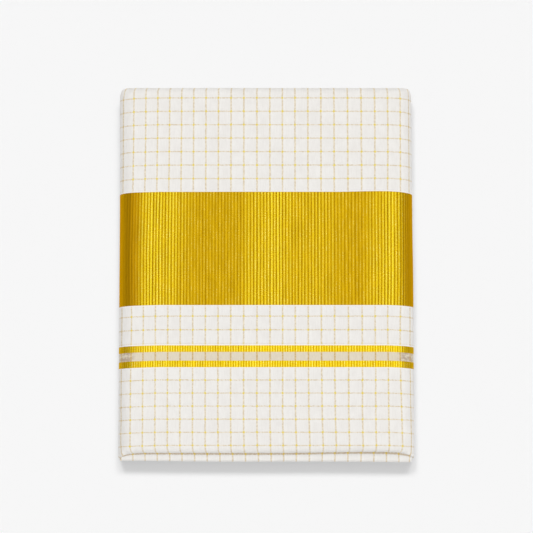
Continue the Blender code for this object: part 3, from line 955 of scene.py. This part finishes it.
def make_cotton():
    """White cotton with a check of pale gold lines and a bright dot where they cross."""
    finish = Finish("checked_cotton", 0.9)
    finish.shader.inputs["Specular IOR Level"].default_value = 0.25
    finish.shader.inputs["Sheen Weight"].default_value = 0.1
    k, t = finish.coordinates("check")
    u, v = finish.coordinates("yarn")
    from_middle = finish.maths("ABSOLUTE", u)
    slub = finish.noise(u, v, 0.9 * MM, 9 * MM)
    ground = cotton_ground(finish, k, u, v, slub)
    k_moved = wavering(finish, k, finish.noise(u, v, 6 * MM, 3 * MM, 5.0))
    t_moved = wavering(finish, t, finish.noise(u, v, 3 * MM, 6 * MM, 9.0))

    last = finish.times(
        finish.line(k_moved, *LINE_LAST),
        finish.between(from_middle, *LAST_LINE_IN),
        finish.between(from_middle, *LAST_LINE_OUT, 1.0, 0.0),
    )
    down = finish.maths("MAXIMUM", finish.line(k_moved, *LINE_ALONG), last)
    across = finish.line(t_moved, *LINE_ACROSS)
    glint_down = finish.between(finish.noise(u, v, 1.5 * MM, 1.6 * MM, 2.0), 0.4, 0.6)
    slant = finish.plus(u, finish.times(v, 0.7))
    glint_across = finish.between(finish.noise(slant, v, 0.8 * MM, 2.5 * MM, 4.0), 0.4, 0.6)
    strong = finish.between(finish.distance(v, FAINT_LINE), 2 * MM, 4 * MM, 0.35, 1.0)
    across_share = finish.times(across, finish.between(glint_across, 0, 1, 0.85, 0.35), strong)
    colour = finish.mix(across_share, ground, finish.mix(glint_across, LINE_BEIGE, LINE_GOLD))
    down_share = finish.times(down, finish.between(glint_down, 0, 1, 0.8, 0.55))
    colour = finish.mix(down_share, colour, finish.mix(glint_down, LINE_BEIGE, LINE_GOLD))
    last_share = finish.times(last, finish.between(glint_down, 0, 1, 0.75, 0.35))
    colour = finish.mix(last_share, colour, LINE_BEIGE)

    dot_down = finish.line(k_moved, *LINE_DOT)
    dot = finish.times(dot_down, finish.line(t_moved, *LINE_DOT), strong)
    bright_dot = finish.times(dot, finish.between(from_middle, *BRIGHT_DOTS_OUT, 1.0, 0.3))
    colour = finish.mix(bright_dot, colour, DOT_GOLD)
    dull_dot = finish.times(dot, finish.between(from_middle, *DULL_DOTS_IN, 0.0, 0.7))
    colour = finish.mix(dull_dot, colour, SIDE_DOT)

    # The crosswise line in the crease and the cloth just beside it take painted shade
    in_crease = finish.between(finish.distance(v, CREASE_AT), 0.3 * MM, 1.2 * MM, 1.0, 0.0)
    crease_share = finish.times(in_crease, finish.between(glint_across, 0, 1, 0.75, 0.3))
    colour = finish.mix(crease_share, colour, finish.mix(dot_down, CREASE_SHADED_BROWN, CREASE_SHADED_DOT))
    colour = finish.mix(finish.times(edge_line(finish, v), 0.7), colour, EDGE_WHITE)
    finish.link(colour, finish.shader.inputs["Base Color"])
    raised_lines = finish.times(finish.maths("MAXIMUM", down, across), 1.2)
    finish.bump(finish.plus(finish.weave(u, v), finish.times(slub, 1.5), raised_lines))
    return finish.material


def zari_painted_gleam(finish, look, u, v):
    """The ribs' painted gleam, a painted reflection: 1 in the middle of a strong gleam, and the look's dim
    level between gleams.
    """
    lean = finish.times(finish.maths("SUBTRACT", v, GLEAM_MIDDLE), GLEAM_LEAN)
    leaning = finish.maths("SUBTRACT", u, lean)
    painted_gleam = 0.0
    for gleam in GLEAMS:
        off = finish.distance(leaning, gleam.u)
        painted_gleam = finish.maths("MAXIMUM", painted_gleam, finish.between(off, 0, gleam.reach, gleam.strength, 0.0))
    return finish.between(painted_gleam, 0, 1, look.dim_gloss, 1.0, smooth=False)


def zari_side_shade(finish, look, u):
    """How strongly the painted shade darkens the ribs in the stretches beside the shoulders."""
    dark = 0.0
    for stretch in SHADED_SIDES:
        off = finish.distance(u, stretch.u)
        strength = look.darkness * stretch.strength
        dark = finish.maths("MAXIMUM", dark, finish.between(off, DARK_CORE, stretch.reach, strength, 0.0))
    return dark


def make_zari(look):
    """Ribbed gold thread, with a painted highlight on the crests and painted shade deep between them. A
    painted gleam, a painted reflection, comes and goes on the ribs in broad bands across the cloth, the
    fine threads that cross them glitter, and the shoulders take painted shade."""
    finish = Finish(look.name, 0.55, 1.0)
    finish.shader.inputs["Specular Tint"].default_value = ZARI_GRAZING
    k, _ = finish.coordinates("check")
    u, v = finish.coordinates("yarn")
    lean = finish.between(finish.noise(u, v, 4 * MM, 60 * MM, 1.0), 0.25, 0.75, -RIB_LEAN, RIB_LEAN)
    place = finish.plus(finish.times(k, look.ribs), lean)
    across = finish.maths("ABSOLUTE", finish.maths("SINE", finish.times(place, math.pi)))
    uneven = finish.random_per(place)
    uneven_valley = finish.random_per(finish.plus(place, VALLEY_NUMBERS))
    painted_gleam = zari_painted_gleam(finish, look, u, v)
    streak = finish.noise(u, v, 2.5 * MM, 22 * MM)
    thin_streak = finish.noise(u, v, 0.9 * MM, 9 * MM, 8.0)
    glitter = finish.noise(u, v, 0.6 * MM, 0.9 * MM, 3.0, detail=3.0)
    # Fine flecks in the gold thread's colour, which also add painted glints on the gleaming crests
    grain_and_glitter = finish.between(glitter, 0.3, 0.7, -0.4, 0.4, smooth=False)

    # Towards the valleys between the ribs the colour darkens, painted shade of the grooves
    from_valley = finish.between(across, 0.1, finish.between(uneven_valley, 0, 1, 0.55, 0.9))
    # Where the ribs do not gleam, the flanks are dimmer and the painted shade in the valleys weaker
    where_dim = finish.times(finish.maths("SUBTRACT", 1.0, painted_gleam), 0.4)
    flank = finish.mix(painted_gleam, ZARI_DIM, look.flank)
    colour = finish.mix(finish.plus(from_valley, where_dim, grain_and_glitter), look.valley, flank)
    # A painted highlight along the crests, strong where the ribs gleam
    crest = finish.times(
        finish.between(across, 0.6, 0.95),
        finish.between(uneven, 0, 1, 0.5, 1.0),
        painted_gleam,
        finish.between(streak, 0.3, 0.7, 0.6, 1.0),
    )
    colour = finish.mix(finish.plus(crest, finish.times(grain_and_glitter, painted_gleam)), colour, ZARI_CREST_HIGHLIGHT)
    # Painted pale glints in the middles of the crests
    pale = finish.times(
        finish.between(across, 0.8, 1.0),
        finish.between(glitter, 0.44, 0.64),
        finish.between(thin_streak, 0.4, 0.65, 0.1, 1.0),
        finish.between(painted_gleam, 0, 1, 0.5 * look.paleness, look.paleness),
    )
    colour = finish.mix(pale, colour, ZARI_PALE_GLINT)
    # The sides take a plainer colour and beside them a darker one, both painted shade of the shoulders
    on_top = finish.times(
        finish.between(u, look.fades_at, look.fades_at + FADE_LENGTH),
        finish.between(u, *RIGHT_FADE, 1.0, 0.0),
    )
    colour = finish.mix(finish.between(on_top, 0, 1, look.side, 0.0), colour, ZARI_SHADED_SIDE)
    colour = finish.mix(zari_side_shade(finish, look, u), colour, ZARI_SIDE_SHADE)
    finish.link(colour, finish.shader.inputs["Base Color"])
    finish.link(finish.between(streak, 0.3, 0.7, 0.50, 0.60), finish.shader.inputs["Roughness"])
    threads = finish.maths("SINE", finish.times(v, math.tau / GOLD_THREAD))
    finish.bump(finish.plus(finish.times(threads, 0.4), finish.times(glitter, 2.0)))
    return finish.material


def make_tissue():
    finish = Finish("tissue_strip", 0.6)
    k, _ = finish.coordinates("check")
    u, v = finish.coordinates("yarn")
    shade = finish.noise(u, v, 0.8 * MM, 5 * MM)
    colour = finish.mix(finish.between(shade, 0.3, 0.7, 0.75, 1.0), TISSUE_BROWN, TISSUE_BEIGE)
    # The tissue darkens to brown in noisy blots near both sides
    off_blots = finish.distance(finish.maths("ABSOLUTE", u), TISSUE_BLOTS_AT)
    blot = finish.noise(u, v, 5 * MM, 3 * MM, 6.0)
    blotted = finish.times(
        finish.between(off_blots, 3 * MM, 12 * MM, 1.0, 0.0),
        finish.between(blot, 0.35, 0.6, 0.1, 0.9),
    )
    colour = finish.mix(blotted, colour, TISSUE_BLOT_BROWN)
    dash = finish.between(finish.noise(u, v, 2 * MM, 1.1 * MM, 2.0), 0.4, 0.6)
    line = finish.times(finish.line(k, *LINE_ON_TISSUE), finish.between(dash, 0, 1, 0.9, 0.7))
    colour = finish.mix(line, colour, finish.mix(dash, TISSUE_LINE, TISSUE_GOLD))
    finish.link(colour, finish.shader.inputs["Base Color"])
    finish.bump(finish.weave(u, v))
    return finish.material


def add_floor():
    mesh = bpy.data.meshes.new("floor")
    half = FLOOR_SIZE / 2
    corners = [(-half, -half, 0), (half, -half, 0), (half, half, 0), (-half, half, 0)]
    mesh.from_pydata(corners, [], [(0, 1, 2, 3)])
    finish = Finish("floor", 0.8)
    finish.shader.inputs["Base Color"].default_value = FLOOR_COLOUR
    finish.shader.inputs["Specular IOR Level"].default_value = 0.0
    mesh.materials.append(finish.material)
    floor = bpy.data.objects.new("floor", mesh)
    bpy.context.scene.collection.objects.link(floor)
    return floor


def add_lamp(lamp, groups):
    """A soft, distant lamp, which lights everything or only the group that it names."""
    light = bpy.data.lights.new(lamp.name, "SUN")
    light.energy = math.pi * lamp.share / math.cos(lamp.tilt)
    light.angle = lamp.size
    holder = bpy.data.objects.new(lamp.name, light)
    aside = math.sin(lamp.tilt)
    direction = Vector((aside * math.sin(lamp.way), -aside * math.cos(lamp.way), math.cos(lamp.tilt)))
    holder.rotation_euler = direction.to_track_quat("Z", "Y").to_euler()
    if lamp.lights in groups:
        holder.light_linking.receiver_collection = groups[lamp.lights]
    bpy.context.scene.collection.objects.link(holder)


def add_light(cloths, floor):
    groups = {"cloth": bpy.data.collections.new("cloth"), "floor": bpy.data.collections.new("floor")}
    for piece in cloths:
        groups["cloth"].objects.link(piece)
    groups["floor"].objects.link(floor)
    for lamp in LAMPS:
        add_lamp(lamp, groups)
    world = bpy.data.worlds.new("surroundings")
    world.use_nodes = True
    background = world.node_tree.nodes["Background"]
    background.inputs["Color"].default_value = (1.0, 1.0, 1.0, 1.0)
    background.inputs["Strength"].default_value = SURROUNDINGS
    bpy.context.scene.world = world


def add_camera():
    camera = bpy.data.cameras.new("camera")
    camera.sensor_width = CAMERA_SENSOR_MM
    camera.lens = CAMERA_LENS_MM
    holder = bpy.data.objects.new("camera", camera)
    to_camera = Vector((0, -math.sin(CAMERA_TILT), math.cos(CAMERA_TILT)))
    holder.location = CAMERA_AIM + to_camera * CAMERA_DISTANCE
    holder.rotation_euler = (CAMERA_TILT, 0, 0)
    bpy.context.scene.collection.objects.link(holder)
    bpy.context.scene.camera = holder


bpy.context.scene.view_settings.view_transform = "Standard"
section = Section()
cotton = make_cotton()
finishes = {
    "cotton": cotton,
    "band": make_zari(BAND_LOOK),
    "stripe": make_zari(STRIPE_LOOK),
    "tissue": make_tissue(),
}
wrap = build_wrap(section, [finishes[slot] for slot in SLOTS])
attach(wrap, "root")
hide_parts("outer_wrap")
folds = build_folds(section, [cotton])
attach(folds, "root")
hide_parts("inner_folds")
floor = add_floor()

# The white floor of a product photograph takes no tint from the cloth, so its bounced light is left out
for piece in (wrap, folds):
    piece.visible_diffuse = False

add_light([wrap, folds], floor)
add_camera()
